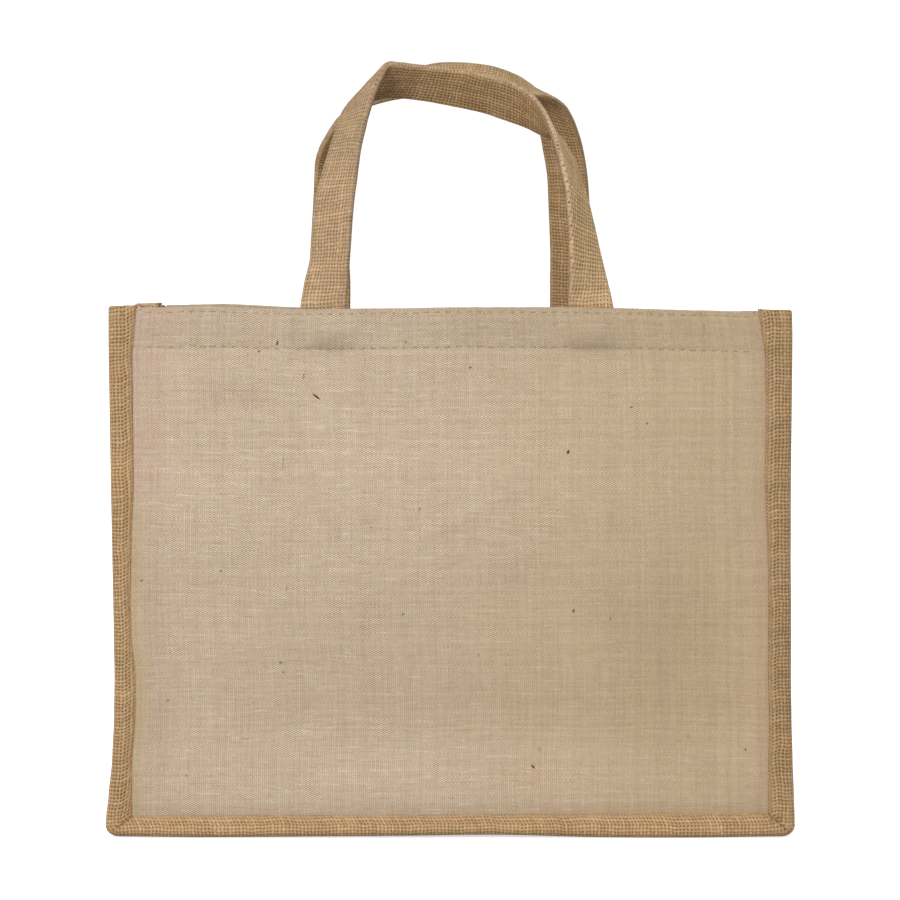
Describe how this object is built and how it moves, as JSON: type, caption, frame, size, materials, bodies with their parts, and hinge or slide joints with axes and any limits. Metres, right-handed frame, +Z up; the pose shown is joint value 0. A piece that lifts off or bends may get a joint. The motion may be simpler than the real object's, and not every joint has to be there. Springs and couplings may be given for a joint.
{
  "type": "burlap bag",
  "caption": "Open-topped shopping bag: juco front and back panels sewn to a hessian side-and-base strip, with folded hessian band handles standing up.",
  "frame": {"origin": "middle of the base, on the surface that the bag stands on", "axes": "+X along the bag's width to the right as seen from the front, -Y out of the front panel toward the viewer, +Z up"},
  "size_m": [0.4066, 0.1642, 0.463],
  "materials": {
    "juco": "fine plain-woven jute and cotton, pale warm beige, matt, with slubs and a few dark flecks",
    "hessian": "coarse open plain-woven jute, golden brown, matt",
    "handle_web": "the same hessian folded into a band, golden brown, matt"
  },
  "bodies": {
    "root": {"front_panel": "juco", "back_panel": "juco", "gusset": "hessian", "front_handle": "handle_web", "back_handle": "handle_web"}
  },
  "joints": []
}
